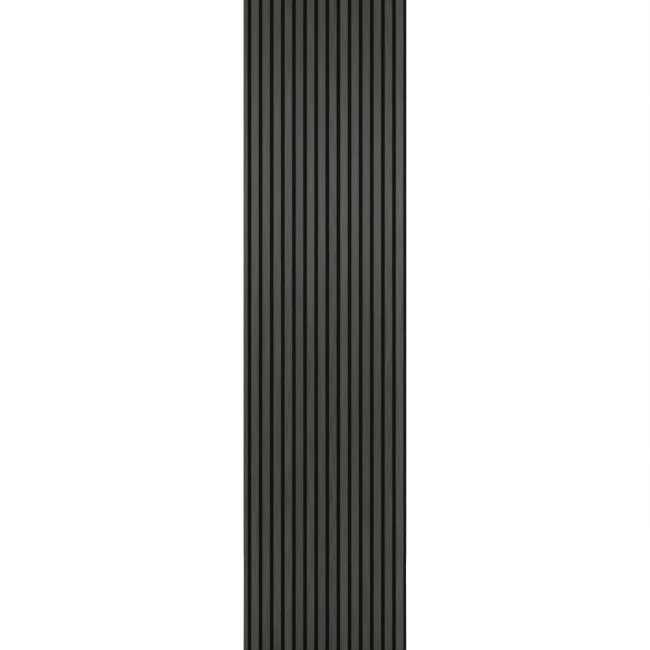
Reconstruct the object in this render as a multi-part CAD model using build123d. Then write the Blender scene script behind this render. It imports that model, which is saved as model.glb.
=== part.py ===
from build123d import *
import os

# Acoustic wall panel: veneered fibreboard slats, glued and stapled to one sheet of felt.
# The origin is the centre of the back face, where the panel meets the wall.
# +Z runs up along the slats, +X to the right as seen from the room, and the slats face -Y.
# All sizes are in millimetres.

# Panel layout, from the left edge to the right edge as seen from the room
panel_height = 2400.0
edge_slat_width = 15.2  # the narrow slat, flush with the left edge of the felt
full_slat_count = 14
slat_width = 27.0
slat_gap = 13.9
felt_margin = 12.2  # bare felt to the right of the last slat

# Depths, from the wall towards the room
felt_thickness = 9.0
slat_depth = 12.0  # core and front veneer together

# Slat build-up
veneer_thickness = 0.6
slat_edge_radius = 1.0  # outside radius of the veneer where it turns the front edge

# Staples, driven from the back with the crown along the slat
staples_per_slat = 6
staple_end_distance = 200.0  # from each end of the slat to its nearest staple
staple_crown_width = 12.8
wire_width = 1.0  # across the slat
wire_thickness = 0.7
crown_sink = 0.5  # how far the crown is pressed below the felt's back face
staple_bite = 6.0  # depth of the leg in the core, point included
staple_point = 1.2  # length of the slanted cut at the end of a leg

# Worked-out places
slat_pitch = slat_width + slat_gap
panel_width = edge_slat_width + full_slat_count * slat_pitch + felt_margin
left_edge = -panel_width / 2
felt_front = -felt_thickness
slat_front = felt_front - slat_depth
half_height = panel_height / 2


def slat_layout():
    """Name suffix, centre and width of each slat, from the left edge to the right."""
    layout = [("01", left_edge + edge_slat_width / 2, edge_slat_width)]
    first_full_centre = left_edge + edge_slat_width + slat_gap + slat_width / 2
    for number in range(full_slat_count):
        centre = first_full_centre + number * slat_pitch
        layout.append((f"{number + 2:02d}", centre, slat_width))
    return layout


def square_outline(centre, width, front):
    """Cross-section of a bar that stands on the felt and reaches forward to its front face."""
    depth = felt_front - front
    return Pos(centre, felt_front) * Rectangle(width, depth, align=(Align.CENTER, Align.MAX))


def front_corners(outline):
    """The two corners of a cross-section that face the room."""
    return outline.vertices().group_by(Axis.Y)[0]


def core_outline(centre, width):
    """Cross-section of the fibreboard core, its front corners eased for the veneer's fold."""
    core_width = width - 2 * veneer_thickness
    outline = square_outline(centre, core_width, slat_front + veneer_thickness)
    return chamfer(front_corners(outline), slat_edge_radius - veneer_thickness)


def veneer_outline(centre, width):
    """Cross-section of the veneer, folded over the front and both sides of the core."""
    outline = square_outline(centre, width, slat_front)
    return fillet(front_corners(outline), slat_edge_radius) - core_outline(centre, width)


def along_panel(outline):
    """The cross-section carried over the full height of the panel."""
    return extrude(outline, amount=half_height, both=True)


def staple_heights():
    """Heights of the staples on one slat, evenly spaced between the two end staples."""
    lowest = -half_height + staple_end_distance
    spacing = -2 * lowest / (staples_per_slat - 1)
    return [lowest + number * spacing for number in range(staples_per_slat)]


def staple_profile(crown_top):
    """Side view of a staple: two legs with slanted points, and a crown up to crown_top."""
    half_crown = staple_crown_width / 2
    inside = half_crown - wire_thickness
    point = felt_front - staple_bite
    shoulder = -crown_sink - wire_thickness
    return make_face(
        Polyline(
            (crown_top, -half_crown),
            (point, -half_crown),
            (point + staple_point, -inside),
            (shoulder, -inside),
            (shoulder, inside),
            (point + staple_point, inside),
            (point, half_crown),
            (crown_top, half_crown),
            close=True,
        )
    )


def staple_row(centre, crown_top):
    """One slat's staples, or with crown_top at the back face the cuts that they sit in."""
    profile = Plane.YZ * staple_profile(crown_top)
    staple = extrude(profile, amount=wire_width / 2, both=True)
    return [Pos(centre, 0, height) * staple for height in staple_heights()]


def felt_sheet():
    """The felt, with the slots and leg holes of every staple."""
    sheet = Pos(0, felt_front / 2, 0) * Box(panel_width, felt_thickness, panel_height)
    cuts = [cut for _, centre, _ in slat_layout() for cut in staple_row(centre, 0.0)]
    return sheet - cuts


def slat_core(centre, width):
    """One slat's fibreboard core, with the blind holes of its own staple legs."""
    return along_panel(core_outline(centre, width)) - staple_row(centre, 0.0)


def all_staples():
    """Every staple of the panel, as separate solids."""
    rows = [staple_row(centre, -crown_sink) for _, centre, _ in slat_layout()]
    return Compound(children=[staple for row in rows for staple in row])


def write_parts():
    """One file for each sub-part, named as the sub-part is."""
    os.makedirs("parts", exist_ok=True)
    export_step(felt_sheet(), "parts/felt_backing.step")
    export_step(all_staples(), "parts/staples.step")
    for suffix, centre, width in slat_layout():
        export_step(slat_core(centre, width), f"parts/slat_core_{suffix}.step")
        veneer = along_panel(veneer_outline(centre, width))
        export_step(veneer, f"parts/slat_veneer_{suffix}.step")


write_parts()
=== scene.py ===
# %% [markdown]
# # A slatted acoustic wall panel
#
# The panel is a row of upright fibreboard slats, each wrapped in grey-stained oak veneer, stapled and
# glued to one sheet of black felt. The solids already have the right sizes and places, so this script
# only gives them their looks: it carries the veneer, the felt and the staples on as finer surfaces,
# gives every piece a finish, and lights the panel in front of a white background.
#
# The slats face -Y, +Z runs up along them, and the felt's back face lies at y = 0. Lengths are in metres.

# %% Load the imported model
import math

import bpy
import numpy as np
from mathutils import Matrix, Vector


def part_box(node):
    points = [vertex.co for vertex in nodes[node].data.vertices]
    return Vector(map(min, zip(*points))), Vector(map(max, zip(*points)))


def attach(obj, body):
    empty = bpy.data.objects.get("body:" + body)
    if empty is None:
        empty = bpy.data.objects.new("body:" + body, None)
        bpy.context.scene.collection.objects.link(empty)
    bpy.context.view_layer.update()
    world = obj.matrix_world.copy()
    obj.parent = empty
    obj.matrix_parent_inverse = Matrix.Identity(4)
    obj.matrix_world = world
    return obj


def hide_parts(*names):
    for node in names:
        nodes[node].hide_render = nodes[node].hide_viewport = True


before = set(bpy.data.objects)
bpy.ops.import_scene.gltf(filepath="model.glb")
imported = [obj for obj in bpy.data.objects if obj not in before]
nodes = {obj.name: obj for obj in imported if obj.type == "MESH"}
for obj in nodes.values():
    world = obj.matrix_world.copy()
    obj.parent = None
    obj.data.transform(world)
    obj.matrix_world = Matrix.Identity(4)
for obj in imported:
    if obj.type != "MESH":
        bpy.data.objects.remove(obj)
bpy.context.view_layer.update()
MM = 0.001  # one millimetre


# %% [markdown]
# ## Where the slats are
#
# Nothing here is measured twice. The box of each veneer gives its slat's sides, the box of the core
# inside it gives the veneer's thickness, and the veneer's own points tell where its flat front begins,
# which is the radius of its folded edge. If a size changes in the solids, these surfaces follow it.

# %% Read the slats from the frame
on_face = 0.01 * MM  # a point that is nearer to a flat face than this lies on it


def points_of(node):
    """The corner points of a node, one row for each point."""
    vertices = nodes[node].data.vertices
    flat = np.zeros(3 * len(vertices), np.float32)
    vertices.foreach_get("co", flat)
    return flat.reshape(-1, 3).astype(float)


slat_names = sorted(
    name.removeprefix("slat_veneer_") for name in nodes if name.startswith("slat_veneer_")
)
slat_boxes = [np.array(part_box("slat_veneer_" + name)) for name in slat_names]
slat_lefts = np.array([box[0, 0] for box in slat_boxes])
slat_rights = np.array([box[1, 0] for box in slat_boxes])
slat_centres = (slat_lefts + slat_rights) / 2
slat_front, felt_front = slat_boxes[0][:, 1]
panel_bottom, panel_top = slat_boxes[0][:, 2]

veneer_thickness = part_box("slat_core_" + slat_names[0])[0].x - slat_lefts[0]
veneer_points = points_of("slat_veneer_" + slat_names[0])
flat_front = veneer_points[veneer_points[:, 1] < slat_front + on_face]
edge_radius = flat_front[:, 0].min() - slat_lefts[0]
print(len(slat_names), f"slats, veneer {veneer_thickness / MM:.2f} mm,",
      f"edge radius {edge_radius / MM:.2f} mm")

# %% [markdown]
# ## Rings into surfaces
#
# A folded veneer and a bent wire are both one profile carried along a path, so both are made by the
# same helper. It takes an array of rings, one for each step of the path, joins every ring to the next
# with four-cornered faces, and closes the two ends. An end is closed by strips that run from the
# first half of the ring to its second half, so a thin folded sheet gets neat faces across its
# thickness, where one many-cornered face would have to guess its way round the folds.

# %% Helpers that turn arrays into closed meshes
def tube(rings):
    """Points and faces of a closed tube through rings, an array of (steps, n points round, 3).

    Point c of step r has number r * n + c. A side face joins numbers c and c + 1 of two steps, and
    an end face joins numbers c and c + 1 of the ring to numbers n - 2 - c and n - 1 - c."""
    steps, n = rings.shape[:2]
    number = np.arange(steps * n).reshape(steps, n)
    ahead = np.roll(number, -1, axis=1)
    sides = np.stack([number[:-1], ahead[:-1], ahead[1:], number[1:]], axis=-1).reshape(-1, 4)
    c = np.arange(n // 2 - 1)
    end = np.stack([c, c + 1, n - 2 - c, n - 1 - c], axis=-1)
    faces = np.concatenate([sides, end[:, ::-1], end + (steps - 1) * n])
    return rings.reshape(-1, 3), faces


def make_piece(name, points, faces, sharp_angle=40):
    """A mesh object at the origin whose faces point outwards, shaded smooth except where they turn
    by more than sharp_angle degrees.

    The signed volume is a sixth of the sum of a . (b x c) over the triangles. Where it is negative
    the faces point inwards, and their corners are taken in reverse."""
    a, b, c, d = (points[faces[:, k]] for k in range(4))
    volume = np.sum(a * np.cross(b, c) + a * np.cross(c, d)) / 6
    if volume < 0:
        faces = faces[:, ::-1]
    mesh = bpy.data.meshes.new(name)
    mesh.from_pydata(points.tolist(), [], faces.tolist())
    mesh.shade_smooth()
    mesh.set_sharp_from_angle(angle=math.radians(sharp_angle))
    piece = bpy.data.objects.new(name, mesh)
    bpy.context.scene.collection.objects.link(piece)
    return piece


def store(piece, name, values):
    """Keeps a number or a vector for each point of a piece, for its material to read."""
    kind, field = ("FLOAT_VECTOR", "vector") if np.ndim(values) == 2 else ("FLOAT", "value")
    attribute = piece.data.attributes.new(name, kind, "POINT")
    attribute.data.foreach_set(field, np.asarray(values, np.float32).ravel())


def finish_piece(piece, material, node):
    """Gives a new piece its material, hangs it under the root body, and hides the node's solids that it
    stands for.
    """
    piece.data.materials.append(material)
    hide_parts(node)
    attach(piece, "root")


# %% [markdown]
# ## The veneer's folded profile
#
# Veneer is a sheet of real wood, 0.6 mm thick. It is rolled round the front and both sides of a core,
# and its outside turns each front edge in a small arc, while its inside lies on the core's eased
# corner. A bevel on a box could make the arcs, but not the sheet itself, and the sheet shows at
# the sawn ends. So the profile is written out: side, arc, front, arc, side on the outside, and the
# same stretches again on the inside. A pair of points close to each arc keeps its shading off the
# flat faces, which would otherwise look swollen.

# %% Work out the folded profile
arc_steps = 8
holding_distance = 0.3 * MM  # from the end of each arc to the points that hold its shading


def folded_path(left, right, inset, bend):
    """One face of the sheet, from the felt up the left side, over the front and down the right.

    inset is how far the face lies inside the slat's outline. bend gives, for a share of the quarter
    turn from 0 to 1, how far the path has left the side and how far it still is from the front, in
    parts of the corner's size."""
    size = edge_radius - inset
    side, front = left + inset, slat_front + inset
    away, ahead = bend(np.linspace(0, 1, arc_steps + 1))
    corner = np.stack([side + size * away, front + size * ahead], axis=-1)
    start = [(side, felt_front), (side, front + size + holding_distance)]
    half = np.concatenate([start, corner, [(side + size + holding_distance, front)]])
    mirrored = half[::-1] * (-1, 1) + (left + right, 0)
    return np.concatenate([half, mirrored])


def round_bend(share):
    """A quarter of a circle: 1 - cos of the turn away from the side, 1 - sin of it from the front."""
    turn = share * math.pi / 2
    return 1 - np.cos(turn), 1 - np.sin(turn)


def straight_bend(share):
    """The eased corner of the core: a straight line from the side to the front."""
    return share, 1 - share


def distance_along(path):
    """How far each point of a path lies from its start, measured along the path."""
    steps = np.linalg.norm(np.diff(path, axis=0), axis=1)
    return np.concatenate([[0], np.cumsum(steps)])


outside = folded_path(slat_lefts[1], slat_rights[1], 0, round_bend)
sheet_width = distance_along(outside)[-1]
print(f"{len(outside)} points over a sheet that is {sheet_width / MM:.1f} mm wide when it is unrolled")

# %% [markdown]
# ## Where each strip grew in the log
#
# What makes veneer look like wood is that its figure runs through the sheet as it ran through the
# tree. One grain laid over the whole panel would be simpler, but it would run on from slat to slat, as
# if they were one board. So every strip is given its own place in an imagined log: how far it lay from
# the pith to the side, how deep the knife was, and how far along the trunk. The material later draws
# growth rings round that pith. A strip far to the side shows straight lines, and one right over the
# pith shows pointed arches. The place follows the unrolled sheet, so the grain turns the folded edges
# without a seam. Strips also differ in tone, because stain takes a little differently on each: most
# by chance, and a few so much that they stand out in the picture.

# %% Give every strip its place in the log and its tone
chance = np.random.default_rng(21)  # a fixed seed, so that every run draws the same strips
strip_count = len(slat_names)
straight_share = 0.75  # of the strips are cut beside the pith and have straight grain
tone_spread = 0.025  # how far the tone of most strips strays from 1
odd_tones = {"02": 1.09, "06": 0.85, "09": 0.86, "10": 1.14, "12": 0.92, "13": 0.96, "15": 1.34}

# Distances to the side of the pith, depths and shifts along the trunk, all in metres
beside_pith = chance.uniform(0.035, 0.080, strip_count) * chance.choice([-1, 1], strip_count)
over_pith = chance.uniform(-0.012, 0.012, strip_count)
is_straight = chance.random(strip_count) < straight_share
strip_offsets = np.where(is_straight, beside_pith, over_pith)
knife_depths = chance.uniform(0.030, 0.070, strip_count)
trunk_shifts = chance.uniform(0.0, 40.0, strip_count)

strip_tones = 1 + chance.normal(0, tone_spread, strip_count)
for name, tone in odd_tones.items():
    strip_tones[slat_names.index(name)] = tone
print("strips with straight grain:", int(is_straight.sum()), "of", strip_count)

# %% Carry the profile up each slat
row_spacing = 0.1  # metres between two rings of a strip, which is straight and needs few
heights = np.linspace(panel_bottom, panel_top, round((panel_top - panel_bottom) / row_spacing) + 1)


def make_strip(k):
    """The veneer of slat k. The ring of the tube is the outside path and then the inside path
    backwards, and the log place of a point is its distance along the path, the knife's depth and
    its height, each shifted to where the strip grew.

    How much a point lies on a folded edge is exp(-d^2), d being its distance from the nearest front
    corner of the slat's outline, in parts of the edge radius. Where that is high, the material paints
    a highlight, as the rounded edges would catch the light."""
    outer = folded_path(slat_lefts[k], slat_rights[k], 0, round_bend)
    inner = folded_path(slat_lefts[k], slat_rights[k], veneer_thickness, straight_bend)
    ring = np.concatenate([outer, inner[::-1]])
    shape = (len(heights), len(ring))
    rings = np.zeros(shape + (3,))
    rings[..., :2] = ring
    rings[..., 2] = heights[:, None]
    points, faces = tube(rings)
    piece = make_piece("veneer_strip_" + slat_names[k], points, faces)

    along = distance_along(outer)
    across = np.concatenate([along, along[::-1]]) - along[-1] / 2
    place = np.zeros(shape + (3,))
    place[..., 0] = across + strip_offsets[k]
    place[..., 1] = knife_depths[k]
    place[..., 2] = rings[..., 2] + trunk_shifts[k]
    store(piece, "log_place", place.reshape(-1, 3))
    store(piece, "strip_tone", np.full(len(points), strip_tones[k]))

    half_width = (slat_rights[k] - slat_lefts[k]) / 2
    from_corner = np.abs(ring - (slat_centres[k], slat_front)) - (half_width, 0)
    # Painted highlight: how much each point lies on a rounded front edge, which the material makes
    # lighter
    highlight_on_fold = np.exp(-np.sum((from_corner / edge_radius) ** 2, axis=1))
    store(piece, "fold_highlight", np.broadcast_to(highlight_on_fold, shape).ravel())
    return piece


veneer_strips = [make_strip(k) for k in range(strip_count)]
print(sum(len(strip.data.polygons) for strip in veneer_strips), "faces in", strip_count, "strips")

# %% [markdown]
# ## Nodes in few words
#
# A finish is a chain of small sums on the surface's coordinates. These helpers add one node each, so
# that a material below reads from top to bottom like the recipe it is. An input that is given a
# socket is linked, and one that is given a number is set.

# %% Helpers that add nodes to a material
def new_material(name):
    """A material with its node tree and its main shader."""
    material = bpy.data.materials.new(name)
    material.use_nodes = True
    return material, material.node_tree, material.node_tree.nodes["Principled BSDF"]


def connect(tree, node, inputs):
    """Links or sets the inputs of a node, which are named by their labels or their numbers."""
    for key, value in inputs.items():
        if isinstance(value, bpy.types.NodeSocket):
            tree.links.new(value, node.inputs[key])
        else:
            node.inputs[key].default_value = value


def add(tree, kind, inputs, output=0, **settings):
    """Adds a node with its settings and inputs, and returns one of its outputs."""
    node = tree.nodes.new("ShaderNode" + kind)
    for key, value in settings.items():
        setattr(node, key, value)
    connect(tree, node, inputs)
    return node.outputs[output]


def calc(tree, operation, a, b=0.0, c=0.0):
    """One sum on numbers."""
    return add(tree, "Math", {0: a, 1: b, 2: c}, operation=operation)


def noise(tree, place, per_metre, detail=2.0, output="Fac"):
    """Smooth noise from 0 to 1, with so many blotches for each metre of x, y and z."""
    scaled = add(tree, "VectorMath", {0: place, 1: per_metre}, operation="MULTIPLY")
    inputs = {"Vector": scaled, "Scale": 1.0, "Detail": detail}
    return add(tree, "TexNoise", inputs, output=output)


def remap(tree, value, low, high, to_low, to_high):
    """Carries the range from low to high over to another range, and holds it there."""
    inputs = {"Value": value, "From Min": low, "From Max": high, "To Min": to_low, "To Max": to_high}
    return add(tree, "MapRange", inputs)


def blend(tree, share, first, second):
    """Mixes two colours, from all first at share 0 to all second at share 1.

    The Mix node has sockets for several kinds of value. Inputs 6 and 7 and output 2 are its colours."""
    return add(tree, "Mix", {0: share, 6: first, 7: second}, output=2, data_type="RGBA")


def times(tree, colour, factor):
    """A colour made lighter or darker by a factor."""
    return add(tree, "VectorMath", {0: colour, "Scale": factor}, operation="SCALE")


def split(tree, place):
    """The x, y and z of a place, as three outputs."""
    node = tree.nodes.new("ShaderNodeSeparateXYZ")
    connect(tree, node, {0: place})
    return node.outputs


# %% [markdown]
# ## Grey-stained oak: the rings
#
# Oak is a wood of rings. Each year starts with a belt of wide pores and ends in dense wood, and a dark
# stain stays in the pores, so every ring shows as a soft-edged darker line. The lines are the
# distance from the pith, cut into rings. A striped wave pattern would be quicker, but its stripes run
# alike over every slat, and no two strips of veneer are alike. Before the distance is taken, slow
# noise bends the wood a little, because no tree grows straight, and the trunk's taper adds the arches.

# %% Cut the imagined log into rings
ring_width = 2.6 * MM
early_share = 0.45  # of a ring, over which its wide pores die out
year_spread = 1.6  # rings by which good and bad years shift the lines
trunk_taper = 0.012  # how much nearer the pith comes with each metre of trunk
taper_length = 1.7  # after which the knife follows the taper back, so that the strips stay alike
bend_size = 9 * MM

oak, tree, shader = new_material("grey_stained_oak")
log_place = add(tree, "Attribute", {}, output="Vector", attribute_name="log_place")

slow_bends = noise(tree, log_place, (9, 9, 1.6), output="Color")
bends = add(tree, "VectorMath", {0: slow_bends, 1: (0.5, 0.5, 0.5)}, operation="SUBTRACT")
moved = add(tree, "VectorMath", {0: bends, 1: (bend_size, bend_size, 0)}, operation="MULTIPLY")
bent_place = add(tree, "VectorMath", {0: log_place, 1: moved}, operation="ADD")
sideways, inwards, upwards = split(tree, bent_place)
up_the_taper = calc(tree, "PINGPONG", upwards, taper_length)
depth = calc(tree, "MULTIPLY_ADD", up_the_taper, trunk_taper, inwards)
from_pith = add(tree, "CombineXYZ", {0: sideways, 1: depth})
pith_distance = add(tree, "VectorMath", {0: from_pith}, output="Value", operation="LENGTH")
years = noise(tree, from_pith, (160, 160, 0), detail=1.0)
uneven_years = calc(tree, "MULTIPLY", years, year_spread)
ring_count = calc(tree, "MULTIPLY_ADD", pith_distance, 1 / ring_width, uneven_years)
early_wood = remap(tree, calc(tree, "FRACT", ring_count), 0.0, early_share, 1.0, 0.0)
print("rings:", len(tree.nodes), "nodes so far")

# %% [markdown]
# ## Grey-stained oak: pores, streaks and lacquer
#
# On top of the rings come three things that veneer shows from near to far: the pores themselves, as
# dashes a few millimetres long, streaks of fibre, and a slow drift in tone. Each of them could be a
# colour of its own. But a stain gives one colour in many strengths, so here each is a factor that
# makes the grey lighter or darker, and the factors are multiplied. One more factor is a painted
# highlight, which makes the grey a little lighter on the folded edges, as if they caught the light.
# The lacquer is matt and a little rougher in the pores. The pores and rings stand in slight relief,
# as on brushed oak.

# %% Stain the oak and lacquer it
warm_grey = (0.0530, 0.0490, 0.0410, 1)
cool_grey = (0.0500, 0.0478, 0.0425, 1)
strip_tone = add(tree, "Attribute", {}, output="Fac", attribute_name="strip_tone")
# The folded edges get a painted highlight: the grey is made lighter there, as if they caught the light
fold_highlight = add(tree, "Attribute", {}, output="Fac", attribute_name="fold_highlight")

pore_noise = noise(tree, bent_place, (2600, 2600, 110), detail=1.5)  # dashes of 0.4 by 9 mm
pore_belt = calc(tree, "MULTIPLY_ADD", early_wood, 0.7, 0.3)  # all of them where a ring starts
pores = calc(tree, "MULTIPLY", remap(tree, pore_noise, 0.54, 0.66, 0.0, 1.0), pore_belt)
streaks = noise(tree, bent_place, (380, 380, 7), detail=3.0)  # 3 mm wide and 140 mm long
drift = noise(tree, log_place, (18, 18, 2.2))  # patches about half a metre long

light_factors = [  # what is read, the range that counts, and the factors at its two ends
    (streaks, 0.25, 0.75, 0.50, 1.50),
    (drift, 0.3, 0.7, 0.93, 1.07),
    (early_wood, 0.0, 1.0, 1.12, 0.76),
    (pores, 0.0, 1.0, 1.0, 0.38),
    # painted highlight on the rounded front edges
    (fold_highlight, 0.0, 1.0, 1.0, 1.12),
]
light = strip_tone
for measure, low, high, at_low, at_high in light_factors:
    light = calc(tree, "MULTIPLY", light, remap(tree, measure, low, high, at_low, at_high))
grey = blend(tree, noise(tree, log_place, (30, 30, 3)), warm_grey, cool_grey)

# Relief: half the streaks, less the pores and a quarter of the early wood
relief = calc(tree, "MULTIPLY_ADD", pores, -1.0, calc(tree, "MULTIPLY", streaks, 0.5))
relief = calc(tree, "MULTIPLY_ADD", early_wood, -0.25, relief)
bumps = add(tree, "Bump", {"Height": relief, "Strength": 0.6, "Distance": 0.12 * MM})
connect(tree, shader, {
    "Base Color": times(tree, grey, light),
    "Roughness": remap(tree, calc(tree, "ADD", pores, streaks), 0.2, 1.6, 0.30, 0.46),
    "Specular IOR Level": 0.3,
    "Normal": bumps,
})
for name, strip in zip(slat_names, veneer_strips):
    finish_piece(strip, oak, "slat_veneer_" + name)
print("grey_stained_oak:", len(tree.nodes), "nodes")

# %% [markdown]
# ## Where the staples are
#
# The staples are driven from the back, so their crowns lie in the felt's back face. Their rows and
# columns are read from their solids: sorted along one axis, the corner points fall into groups with
# wide gaps between them, and each group is one row or one column.

# %% Read the staples from the frame
def groups(values, gap):
    """The middle of each run of values that no gap parts, and half the width of the first run."""
    values = np.unique(values)
    runs = np.split(values, np.flatnonzero(np.diff(values) > gap) + 1)
    lows, highs = np.array([(run[0], run[-1]) for run in runs]).T
    return (lows + highs) / 2, (highs[0] - lows[0]) / 2


staple_points = points_of("staples")
staple_columns, wire_half_width = groups(staple_points[:, 0], gap=5 * MM)
staple_rows, crown_half = groups(staple_points[:, 2], gap=50 * MM)
crown_top, leg_tip = staple_points[:, 1].max(), staple_points[:, 1].min()
below_crown = staple_points[staple_points[:, 1] < crown_top - on_face, 1]
wire_thickness = crown_top - below_crown.max()
print(len(staple_columns), "columns and", len(staple_rows), "rows of staples, crown",
      f"{2 * crown_half / MM:.1f} mm, wire {2 * wire_half_width / MM:.1f} x {wire_thickness / MM:.1f} mm")

# %% [markdown]
# ## The felt sheet
#
# The felt is one needled sheet, 9 mm thick, cut to size with a knife. It isn't a plain slab: its cut
# edges are soft, it stands a little proud between the slats that press on it, its back is never quite
# flat, and every staple pulls a dimple into it. The surface is the skin of a box whose grid lines
# lie close together only where something happens, at the edges, the grooves and the staples, so it has
# fine shape there and few faces elsewhere. Cloth simulation would add nothing, because the felt is
# stiff and glued down.

# %% Lay out the grid of the felt
felt_low, felt_high = (np.array(corner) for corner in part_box("felt_backing"))
felt_radius = 0.9 * MM  # how far the knife-cut edges are rounded
edge_lines = np.array([0, 0.3, 1.0]) * felt_radius  # from each end of an axis
clear_of_edge = edge_lines[-1] + 0.1 * MM  # where the other lines may begin
dimple_lines = np.array([0.35, 0.7, 1.2, 2.0, 3.4]) * MM  # to both sides of a staple's wire
groove_shares = np.array([0.0, 0.08, 0.3, 0.7, 0.92, 1.0])  # of the width of a groove
depth_shares = np.array([0.33, 0.67])  # of the felt's thickness, from its back at y = 0
even_rows = 41  # over the whole height, so that no face gets too long


def around(centres, offsets):
    """Lines at each centre and at the same offsets on both sides of it."""
    both = np.concatenate([-offsets, [0], offsets])
    return (centres[:, None] + both).ravel()


def between(low, high, *sets):
    """All lines of an axis in order: the edge lines at its two ends, and the sets clear of them.

    Lines of the sets that are the same to a micrometre are taken once."""
    lines = np.unique(np.round(np.concatenate(sets), 6))
    inner = lines[(lines > low + clear_of_edge) & (lines < high - clear_of_edge)]
    return np.concatenate([low + edge_lines, inner, high - edge_lines[::-1]])


groove_lefts = slat_rights
groove_rights = np.append(slat_lefts[1:], felt_high[0])
groove_widths = groove_rights - groove_lefts
groove_lines = (groove_lefts[:, None] + groove_widths[:, None] * groove_shares).ravel()
column_lines = around(staple_columns, dimple_lines)
crown_ends = np.concatenate([staple_rows - crown_half, staple_rows + crown_half])
crown_lines = around(crown_ends, dimple_lines[1:])
rows_between = np.linspace(felt_low[2], felt_high[2], even_rows)

felt_xs = between(felt_low[0], felt_high[0], column_lines, groove_lines)
felt_ys = between(felt_low[1], felt_high[1], felt_low[1] * depth_shares)
felt_zs = between(felt_low[2], felt_high[2], crown_lines, staple_rows, rows_between)
print("felt grid", len(felt_xs), "x", len(felt_ys), "x", len(felt_zs))


# %% Divide the skin of the felt's box along those lines
def box_skin(xs, ys, zs):
    """Points and faces over the six sides of a box that is divided at the given lines.

    The lattice points are numbered in order. Each side is a grid of numbers, and a face joins a
    number to its next neighbours along the grid's two directions. Numbers that lie on no side drop
    out."""
    lattice = np.stack(np.meshgrid(xs, ys, zs, indexing="ij"), axis=-1).reshape(-1, 3)
    number = np.arange(len(lattice)).reshape(len(xs), len(ys), len(zs))
    sides = [number[0].T, number[-1], number[:, 0], number[:, -1].T, number[:, :, 0].T, number[:, :, -1]]
    faces = np.concatenate([
        np.stack([g[:-1, :-1], g[1:, :-1], g[1:, 1:], g[:-1, 1:]], axis=-1).reshape(-1, 4) for g in sides
    ])
    used, faces = np.unique(faces, return_inverse=True)
    return lattice[used], faces.reshape(-1, 4)


felt_points, felt_faces = box_skin(felt_xs, felt_ys, felt_zs)
print(len(felt_points), "points and", len(felt_faces), "faces in the skin of the felt's box")


# %% Shape the skin into felt
def nearest_distance(values, places):
    """How far each value lies from the nearest of some places."""
    return np.abs(values[:, None] - places).min(axis=1)


def rounded(points, low, high, radius):
    """Draws each skin point onto the sphere of that radius round the nearest point of the box that
    is smaller by the radius on every side, which leaves flat sides flat and rounds the edges."""
    inner = np.clip(points, low + radius, high - radius)
    outward = points - inner
    return inner + radius * outward / np.linalg.norm(outward, axis=1, keepdims=True)


dimple_depth = 0.75 * MM
dimple_reach = 1.1 * MM
pressed_share = 0.6  # of the wire's width, over which a dimple is at its deepest
groove_rise = 0.25 * MM
back_wave = 0.15 * MM

on_back = felt_points[:, 1] > felt_high[1] - on_face
on_front = felt_points[:, 1] < felt_low[1] + on_face
x, z = felt_points[:, 0], felt_points[:, 2]
felt_points = rounded(felt_points, felt_low, felt_high, felt_radius)

# Dimple: its depth times exp(-d^2), d being the distance from the crown's line in parts of its reach
past_crown = np.maximum(nearest_distance(z, staple_rows) - crown_half, 0)
beside_crown = np.maximum(nearest_distance(x, staple_columns) - wire_half_width * pressed_share, 0)
dimples = dimple_depth * np.exp(-(past_crown**2 + beside_crown**2) / dimple_reach**2)
# Back: slow waves inwards from the wall's plane, the product of two sines raised to stay above zero.
# Their factors are radians for each metre, so most of the waves are about half a metre long
waves = back_wave * (1 + np.sin(17 * x + 3 * z) * np.sin(9 * z - 11 * x + 1)) / 2
# Groove: a low parabola between two slats, which is zero where the slats begin
groove = np.clip(np.searchsorted(groove_lefts, x, side="right") - 1, 0, len(groove_lefts) - 1)
share = np.clip((x - groove_lefts[groove]) / groove_widths[groove], 0, 1)
rises = groove_rise * 4 * share * (1 - share)
felt_points[:, 1] -= np.where(on_back, np.maximum(dimples, waves), 0) + np.where(on_front, rises, 0)

# Felt has no sharp edge, so the angle that counts as sharp is larger than any between its faces
felt = make_piece("felt_sheet", felt_points, felt_faces, sharp_angle=80)
print(f"deepest dimple {np.max(dimples[on_back]) / MM:.2f} mm, highest wave {np.max(waves) / MM:.2f} mm")

# %% [markdown]
# ## Needled felt
#
# Pressed felt is made of short crimped fibres that lie flat in every direction, most of them black and
# some a little lighter. Noise that is drawn out along one direction looks like such fibres, so the
# material lays several sets over each other, each turned further round, and keeps only their crests.
# Before that, a swirl moves the coordinates about, which crimps the fibres. They lie flat, so the
# noise changes fast through the thickness, and the cut edges show fine layers instead of strands.
# A coarser mottling breaks up the surface, and the pile gives it a faint sheen.

# %% Make the felt
felt_black = (0.0080, 0.0067, 0.0043, 1)
fibre_grey = (0.041, 0.037, 0.030, 1)
fibre_turns = (8, 41, 77, 118, 152)  # degrees in the plane of the sheet
crimp = 4 * MM  # how far the swirl moves a fibre

felt_finish, tree, shader = new_material("needled_felt")
place = add(tree, "TexCoord", {}, output="Object")
swirl = noise(tree, place, (170, 170, 170), detail=1.0, output="Color")  # curls 6 mm across
swirled = add(tree, "VectorMath", {0: swirl, 1: (crimp, 0, crimp)}, operation="MULTIPLY")
crimped = add(tree, "VectorMath", {0: place, 1: swirled}, operation="ADD")
fibres = 0.0
for turn in fibre_turns:
    turned = add(tree, "Mapping", {"Vector": crimped, "Rotation": (0, math.radians(turn), 0)})
    strands = noise(tree, turned, (2600, 3000, 190), detail=1.0)  # 0.4 mm thick and 5 mm long
    fibres = calc(tree, "MAXIMUM", remap(tree, strands, 0.60, 0.76, 0.0, 1.0), fibres)
mottle = noise(tree, place, (260, 600, 260), detail=4.0)  # tufts 4 mm across
lightness = calc(tree, "MULTIPLY", fibres, remap(tree, mottle, 0.35, 0.65, 0.1, 0.8))
height = calc(tree, "MULTIPLY_ADD", mottle, 0.8, calc(tree, "MULTIPLY", fibres, 0.6))
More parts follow.
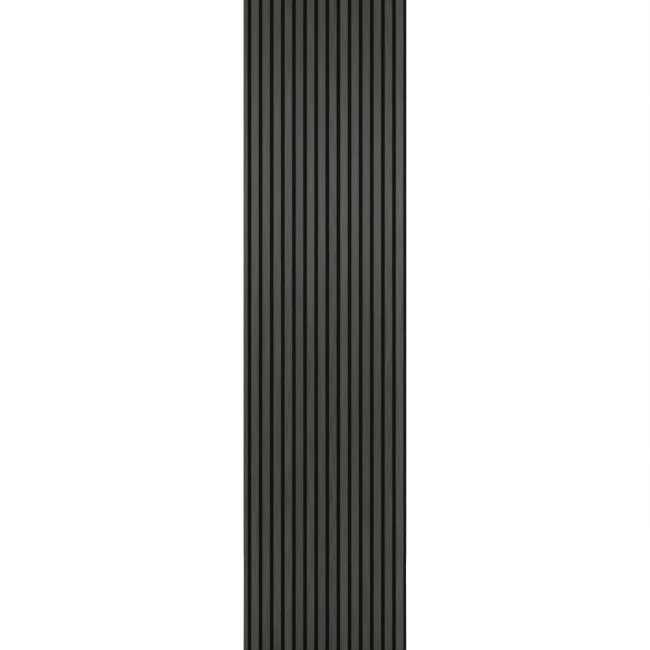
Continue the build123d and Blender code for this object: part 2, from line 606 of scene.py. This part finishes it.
connect(tree, shader, {
    "Base Color": blend(tree, lightness, felt_black, fibre_grey),
    "Roughness": 0.95,
    "Specular IOR Level": 0.1,
    "Sheen Weight": 0.04,
    "Sheen Roughness": 0.6,
    "Normal": add(tree, "Bump", {"Height": height, "Strength": 0.8, "Distance": 0.35 * MM}),
})
finish_piece(felt, felt_finish, "felt_backing")
print("needled_felt:", len(tree.nodes), "nodes")

# %% [markdown]
# ## The staples
#
# A staple is one length of flat wire with two bends, cut to a slant at each tip so that it drives
# straight. The solids have sharp shoulders. Here the wire's rounded section is carried along the real
# path, up one leg, round the bend, along the crown and down again, so that the crowns on the back
# catch the light as bent wire does. All staples are copies of one, each a degree or two out of
# true, as a staple gun leaves them.

# %% Bend one staple
bend_radius = 1.1 * MM  # at the middle of the wire
bend_steps = 5
tip_slant = 1.2 * MM  # how much longer the outside of a leg is than its inside
section_points = 12
section_roundness = 0.55  # 1 would be an ellipse, and 0 a rectangle


def bent_half():
    """Middle line of the wire from one tip to the middle of the crown, as (y, z), and the direction
    that is outside the bend at each of its points. The bend is a quarter of a circle."""
    leg_z = -(crown_half - wire_thickness / 2)
    crown_y = crown_top - wire_thickness / 2
    turn = np.linspace(0, math.pi / 2, bend_steps + 1)
    outward = np.stack([np.sin(turn), -np.cos(turn)], axis=-1)
    middle = np.array([crown_y - bend_radius, leg_z + bend_radius])
    path = np.concatenate([[(leg_tip, leg_z)], middle + bend_radius * outward, [(crown_y, 0)]])
    return path, np.concatenate([outward[:1], outward, outward[-1:]])


half_path, half_outward = bent_half()
wire_path = np.concatenate([half_path, half_path[-2::-1] * (1, -1)])
wire_outward = np.concatenate([half_outward, half_outward[-2::-1] * (1, -1)])

# Section: the superellipse x = a |cos|^p, y = b |sin|^p, signed as the cosine and sine are
angle = (np.arange(section_points) + 0.5) * 2 * math.pi / section_points
section_x = wire_half_width * np.sign(np.cos(angle)) * np.abs(np.cos(angle)) ** section_roundness
section_out = wire_thickness / 2 * np.sign(np.sin(angle)) * np.abs(np.sin(angle)) ** section_roundness

wire_rings = np.zeros((len(wire_path), section_points, 3))
wire_rings[..., 0] = section_x
wire_rings[..., 1:] = wire_path[:, None] + section_out[:, None] * wire_outward[:, None]
# Tips: the outside of a leg keeps its whole length, and its inside ends short by the slant
wire_rings[[0, -1], :, 1] += tip_slant * (0.5 - section_out / wire_thickness)
one_staple, one_staple_faces = tube(wire_rings)
print(len(wire_path), "steps along the wire and", len(one_staple_faces), "faces in one staple")

# %% Drive all staples
largest_tilt = math.radians(1.8)
places = np.array([(x, 0, z) for x in staple_columns for z in staple_rows])
tilts = chance.uniform(-largest_tilt, largest_tilt, len(places))

# A turn about Y: x' = x cos t + z sin t, z' = z cos t - x sin t
c, s = np.cos(tilts)[:, None], np.sin(tilts)[:, None]
all_points = np.repeat(one_staple[None], len(places), axis=0)
all_points[..., 0] = c * one_staple[:, 0] + s * one_staple[:, 2]
all_points[..., 2] = c * one_staple[:, 2] - s * one_staple[:, 0]
all_points += places[:, None]
all_faces = one_staple_faces + len(one_staple) * np.arange(len(places))[:, None, None]
staples = make_piece("staple_wires", all_points.reshape(-1, 3), all_faces.reshape(-1, 4))
print(len(places), "staples, tilted by up to", f"{math.degrees(np.abs(tilts).max()):.1f} degrees")

# %% [markdown]
# ## Galvanised wire
#
# Staple wire is zinc-coated steel: bright, but dull in patches where the zinc has oxidised. One even
# metal would look like chrome, so both the colour and the roughness follow the patches, and fine
# lines along the crown are the marks of the die that the wire was drawn through.

# %% Make the galvanised wire
zinc_bright = (0.42, 0.43, 0.44, 1)
zinc_dull = (0.20, 0.21, 0.22, 1)

zinc, tree, shader = new_material("galvanised_wire")
place = add(tree, "TexCoord", {}, output="Object")
patches = noise(tree, place, (900, 900, 900), detail=3.0)  # about a millimetre across
drawn_lines = noise(tree, place, (9000, 9000, 300), detail=1.0)  # scratches 0.1 mm wide
connect(tree, shader, {
    "Base Color": blend(tree, remap(tree, patches, 0.35, 0.65, 0.0, 1.0), zinc_bright, zinc_dull),
    "Metallic": 1.0,
    "Roughness": remap(tree, patches, 0.3, 0.7, 0.28, 0.5),
    "Normal": add(tree, "Bump", {"Height": drawn_lines, "Strength": 0.3, "Distance": 0.02 * MM}),
})
finish_piece(staples, zinc, "staples")
print("galvanised_wire:", len(tree.nodes), "nodes")

# %% [markdown]
# ## Fibreboard cores
#
# The cores keep their own solids: they are sawn bars, and only their ends show, between the folds of the
# veneer. Fibreboard is wood fibre pressed to a board, so its cut face is a fine even speckle that gets
# denser and darker towards the two pressed faces. The material reads how far a point lies from the
# middle of the board to darken those skins.

# %% Make the fibreboard
board_low, board_high = slat_front + veneer_thickness, felt_front
board_middle, board_half = (board_low + board_high) / 2, (board_high - board_low) / 2
skin_share = 0.45  # of each half of the board gets denser towards its face
board_light = (0.36, 0.25, 0.155, 1)
board_dark = (0.20, 0.13, 0.075, 1)

board, tree, shader = new_material("fibreboard")
place = add(tree, "TexCoord", {}, output="Object")
across_board = split(tree, place)[1]
from_middle = calc(tree, "ABSOLUTE", calc(tree, "SUBTRACT", across_board, board_middle))
skins = remap(tree, from_middle, (1 - skin_share) * board_half, board_half, 0.0, 0.5)
speckle = noise(tree, place, (1400, 2600, 1400), detail=4.0)  # fibres 0.7 mm long
darkness = calc(tree, "ADD", skins, remap(tree, speckle, 0.35, 0.68, 0.0, 0.5))
connect(tree, shader, {
    "Base Color": blend(tree, darkness, board_light, board_dark),
    "Roughness": remap(tree, speckle, 0.3, 0.7, 0.72, 0.92),
    "Specular IOR Level": 0.2,
    "Normal": add(tree, "Bump", {"Height": speckle, "Strength": 0.5, "Distance": 0.15 * MM}),
})
for name in slat_names:
    core = nodes["slat_core_" + name].data
    core.materials.clear()
    core.materials.append(board)
print("fibreboard:", len(tree.nodes), "nodes on", len(slat_names), "cores")

# %% [markdown]
# ## White all round
#
# The picture has a plain white background with no wall and no horizon. The world is white to the
# camera and in reflections, and dimmer as a light, so the white doesn't bleach the dark panel. The
# floor is pale, and what it lacks to full white is a glow that only the camera and reflections see.
# In front of the panel, where the lamps do most of the lighting, there is less of that glow, which
# leaves the floor able to show the panel's shadow.

# %% Colour the world
white = (1, 1, 1, 1)
background_white = 1.0  # the picture has 0.99, but the floor would end in a line against that
ambient_light = 0.32  # of full white, as a light


def seen_share(tree):
    """1 for the rays by which a background is seen, straight, mirrored or through glass, and 0 for
    the rays by which it lights things."""
    path = tree.nodes.new("ShaderNodeLightPath")
    share = 0.0
    for ray in ("Is Camera Ray", "Is Glossy Ray", "Is Transmission Ray"):
        share = calc(tree, "MAXIMUM", path.outputs[ray], share)
    return share


world = bpy.data.worlds.new("white_surroundings")
bpy.context.scene.world = world
world.use_nodes = True
tree = world.node_tree
as_light = add(tree, "Background", {"Color": white, "Strength": ambient_light})
as_seen = add(tree, "Background", {"Color": white, "Strength": background_white})
surroundings = add(tree, "MixShader", {0: seen_share(tree), 1: as_light, 2: as_seen})
connect(tree, tree.nodes["World Output"], {"Surface": surroundings})
print("world:", background_white, "where it is seen and", ambient_light, "as a light")

# %% Lay the floor
floor_size = 14.0
floor_white = 0.86
floor_glow = background_white - floor_white * ambient_light  # what the world's light leaves to add
lamps_on_floor = 0.17  # the least that the lamps add in front of the panel
shadow_middle = (0, -0.6, panel_bottom)
shadow_reach = 1.6

corners =np.array([(-1, -1, 0), (1, -1, 0), (1, 1, 0), (-1, 1, 0)]) * floor_size / 2
floor_mesh = bpy.data.meshes.new("floor")
floor_mesh.from_pydata((corners + (0, 0, panel_bottom)).tolist(), [], [(0, 1, 2, 3)])
floor = bpy.data.objects.new("floor", floor_mesh)
bpy.context.scene.collection.objects.link(floor)

# Glow: floor_glow - lamps_on_floor * exp(-(distance from the shadow's middle / its reach)^2)
pale_floor, tree, shader = new_material("pale_floor")
connect(tree, shader, {"Base Color": (floor_white, floor_white, floor_white, 1), "Roughness": 0.9})
place = add(tree, "TexCoord", {}, output="Object")
away = add(tree, "VectorMath", {0: place, 1: shadow_middle}, output="Value", operation="DISTANCE")
squared = calc(tree, "POWER", calc(tree, "DIVIDE", away, shadow_reach), 2.0)
nearness = calc(tree, "EXPONENT", calc(tree, "MULTIPLY", squared, -1.0))
level = calc(tree, "MULTIPLY_ADD", nearness, -lamps_on_floor, floor_glow)
seen_level = calc(tree, "MULTIPLY", seen_share(tree), level)
glow = add(tree, "Emission", {"Color": white, "Strength": seen_level})
floor_look = add(tree, "AddShader", {0: shader.outputs[0], 1: glow})
connect(tree, tree.nodes["Material Output"], {"Surface": floor_look})
floor_mesh.materials.append(pale_floor)
print(f"floor {floor_size} m wide, glowing at {floor_glow - lamps_on_floor:.2f} to {floor_glow:.2f}")

# %% [markdown]
# ## Camera
#
# The picture shows no side wall of any slat, so it was taken from far away, level with the panel's
# middle. The camera stands at 12 m. A camera without perspective would look nearly the same from here,
# but strange from other sides. The lens is worked out from the height that the picture takes in,
# which is a centimetre less than the panel's, because the panel runs past its top and bottom edges.

# %% Set up the camera
camera_distance = 12.0
visible_height = 2.390  # at the front of the slats

camera = bpy.data.cameras.new("camera")
camera.sensor_fit = "VERTICAL"
camera.sensor_height = 36.0
camera.lens = camera.sensor_height * (camera_distance + slat_front) / visible_height
camera.clip_end = 100.0
camera_holder = bpy.data.objects.new("camera", camera)
camera_holder.location = (0, -camera_distance, 0)
camera_holder.rotation_euler = (math.pi / 2, 0, 0)
bpy.context.scene.collection.objects.link(camera_holder)
bpy.context.scene.camera = camera_holder
bpy.context.scene.view_settings.view_transform = "Standard"
print(f"lens {camera.lens:.1f} mm")

# %% [markdown]
# ## Lamps
#
# Two wide soft boxes stand in front, left and right, and light the slats evenly while the grooves
# stay dark, because neither shines straight in. The right one is a little stronger, as the picture is
# a little lighter there. A third lights the back. The picture also has a softly brighter band across
# the slats above their middle, which is whiter than they are and hardly shows in the felt. That is a
# reflection in the matt lacquer, so a strip light hangs where the slats mirror it to the camera. A low
# strip by the floor keeps the slats' feet from going dark, as the light from a wide white floor would.
# Lamps are hidden from the camera: they are equipment, and not part of the picture.

# %% Hang the lamps
def soft_box(name, place, aim, size, strength):
    """An area lamp of size (width, height) at a place, turned to shine at a point.

    strength is the level that the lamp's whole face would give right in front of it, so its power
    in watts is strength times pi times its area."""
    lamp = bpy.data.lights.new(name, "AREA")
    lamp.shape = "RECTANGLE"
    lamp.size, lamp.size_y = size
    lamp.energy = strength * math.pi * size[0] * size[1]
    holder = bpy.data.objects.new(name, lamp)
    holder.location = place
    direction = Vector(aim) - Vector(place)
    holder.rotation_euler = direction.to_track_quat("-Z", "Y").to_euler()
    holder.visible_camera = False
    bpy.context.scene.collection.objects.link(holder)
    print(f"{name}: {lamp.energy:.1f} W")


band_height = 0.50  # of the bright band, above the panel's middle
strip_distance = 2.0
# The slats mirror the strip at the height where its rays and the camera's make equal angles
strip_height = band_height * (1 + strip_distance / camera_distance)

# Name, place, the point that it shines at, width and height, strength
soft_box("box_left", (-3.2, -3.6, -0.1), (0, 0, -0.1), (2.4, 2.2), 1.55)
soft_box("box_right", (3.2, -3.6, -0.1), (0, 0, -0.1), (2.4, 2.2), 1.7)
soft_box("box_behind", (0.8, 4.5, 1.2), (0, 0, 0), (3.0, 3.0), 3.0)
soft_box("low_strip", (0, -1.3, -1.1), (0, 0, -1.1), (1.6, 0.15), 1.2)
soft_box("band_strip", (0.1, -strip_distance, strip_height), (0.1, 0, strip_height), (1.6, 0.8), 2.5)
